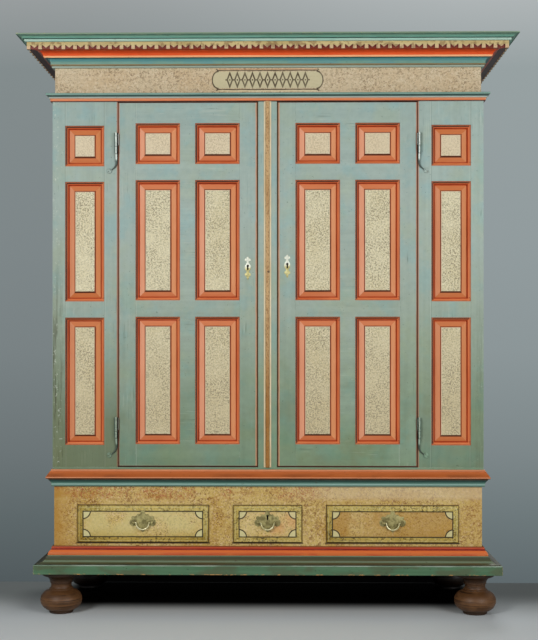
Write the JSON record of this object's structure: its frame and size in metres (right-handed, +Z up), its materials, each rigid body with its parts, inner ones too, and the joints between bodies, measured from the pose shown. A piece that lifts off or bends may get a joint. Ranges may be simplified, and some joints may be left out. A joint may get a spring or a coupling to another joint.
{
  "type": "kas cupboard",
  "caption": "Painted two-door clothes cupboard with raised panels, lipped drawers below, deep dentilled cornice and turned bun feet.",
  "frame": {"origin": "on the floor, under the middle of the overall box", "axes": "+Z up, +Y towards the back, -Y out of the front, +X to the right of someone facing the doors"},
  "size_m": [1.818, 0.682, 2.124],
  "materials": {
    "teal_paint": "brushed blue-green milk paint, worn",
    "panel_paint": "cream field with dark vermicular sponging, orange bevel",
    "moulding_paint": "orange-red and blue-green painted members, worn",
    "sponged_paint": "cream and ochre sponged paint",
    "dentil_paint": "cream paint",
    "turned_wood": "dark brown stain, rubbed",
    "bare_pine": "planed, unpainted, aged",
    "wrought_iron": "forged, thinly painted over",
    "brass": "old, dulled"
  },
  "bodies": {
    "case": {"foot_front_left": "turned_wood", "foot_front_right": "turned_wood", "foot_back_left": "turned_wood", "foot_back_right": "turned_wood", "base_board": "bare_pine", "drawer_guides": "bare_pine", "case_floor": "bare_pine", "top_boards": "bare_pine", "back_boards": "bare_pine", "centre_partition": "bare_pine", "shelves": "bare_pine", "shelf_cleats": "bare_pine", "peg_rail": "bare_pine", "base_moulding": "moulding_paint", "waist_moulding": "moulding_paint", "architrave_moulding": "moulding_paint", "bed_moulding": "moulding_paint", "cornice_moulding": "moulding_paint", "drawer_case_ends": "sponged_paint", "drawer_face_frame": "sponged_paint", "frieze_boards": "sponged_paint", "centre_bead": "sponged_paint", "dentil_strip": "dentil_paint", "front_rails": "teal_paint", "end_frame_left": "teal_paint", "end_frame_right": "teal_paint", "front_frame_left": "teal_paint", "front_frame_right": "teal_paint", "centre_stile": "teal_paint", "end_panels": "panel_paint", "front_panels": "panel_paint", "hinge_pintles": "wrought_iron"},
    "door_left": {"door_stiles_left": "teal_paint", "door_rails_left": "teal_paint", "door_panels_left": "panel_paint", "hinge_leaves_left": "wrought_iron", "door_lock_left": "wrought_iron", "escutcheon_left": "brass"},
    "door_bolt_body_left": {"door_bolt_left": "wrought_iron"},
    "door_right": {"door_stiles_right": "teal_paint", "door_rails_right": "teal_paint", "door_panels_right": "panel_paint", "hinge_leaves_right": "wrought_iron", "door_lock_right": "wrought_iron", "escutcheon_right": "brass"},
    "door_bolt_body_right": {"door_bolt_right": "wrought_iron"},
    "drawer_left": {"drawer_front_left": "sponged_paint", "drawer_box_left": "bare_pine", "pull_plate_left": "brass"},
    "bail_body_left": {"bail_left": "brass"},
    "drawer_centre": {"drawer_front_centre": "sponged_paint", "drawer_box_centre": "bare_pine", "pull_plate_centre": "brass", "drawer_lock": "wrought_iron"},
    "bail_body_centre": {"bail_centre": "brass"},
    "drawer_right": {"drawer_front_right": "sponged_paint", "drawer_box_right": "bare_pine", "pull_plate_right": "brass"},
    "bail_body_right": {"bail_right": "brass"},
    "drawer_bolt_body": {"drawer_bolt": "wrought_iron"}
  },
  "joints": [
    {"name": "door_left_hinge", "type": "hinge", "parent": "case", "child": "door_left", "pos_m": [-0.5595, -0.237, 1.2], "axis": [0, 0, -1], "range_deg": [0, 170]},
    {"name": "door_right_hinge", "type": "hinge", "parent": "case", "child": "door_right", "pos_m": [0.5595, -0.237, 1.2], "axis": [0, 0, 1], "range_deg": [0, 170]},
    {"name": "door_left_bolt_slide", "type": "slide", "parent": "door_left", "child": "door_bolt_body_left", "axis": [1, 0, 0], "range_m": [0, 0.012]},
    {"name": "door_right_bolt_slide", "type": "slide", "parent": "door_right", "child": "door_bolt_body_right", "axis": [-1, 0, 0], "range_m": [0, 0.012]},
    {"name": "drawer_left_slide", "type": "slide", "parent": "case", "child": "drawer_left", "axis": [0, -1, 0], "range_m": [0, 0.38]},
    {"name": "bail_left_swing", "type": "hinge", "parent": "drawer_left", "child": "bail_body_left", "pos_m": [-0.4615, -0.2462, 0.34], "axis": [-1, 0, 0], "range_deg": [0, 95]},
    {"name": "drawer_centre_slide", "type": "slide", "parent": "case", "child": "drawer_centre", "axis": [0, -1, 0], "range_m": [0, 0.38]},
    {"name": "bail_centre_swing", "type": "hinge", "parent": "drawer_centre", "child": "bail_body_centre", "pos_m": [0, -0.2462, 0.34], "axis": [-1, 0, 0], "range_deg": [0, 95]},
    {"name": "drawer_right_slide", "type": "slide", "parent": "case", "child": "drawer_right", "axis": [0, -1, 0], "range_m": [0, 0.38]},
    {"name": "bail_right_swing", "type": "hinge", "parent": "drawer_right", "child": "bail_body_right", "pos_m": [0.4615, -0.2462, 0.34], "axis": [-1, 0, 0], "range_deg": [0, 95]},
    {"name": "drawer_bolt_slide", "type": "slide", "parent": "drawer_centre", "child": "drawer_bolt_body", "axis": [0, 0, 1], "range_m": [0, 0.01]}
  ]
}
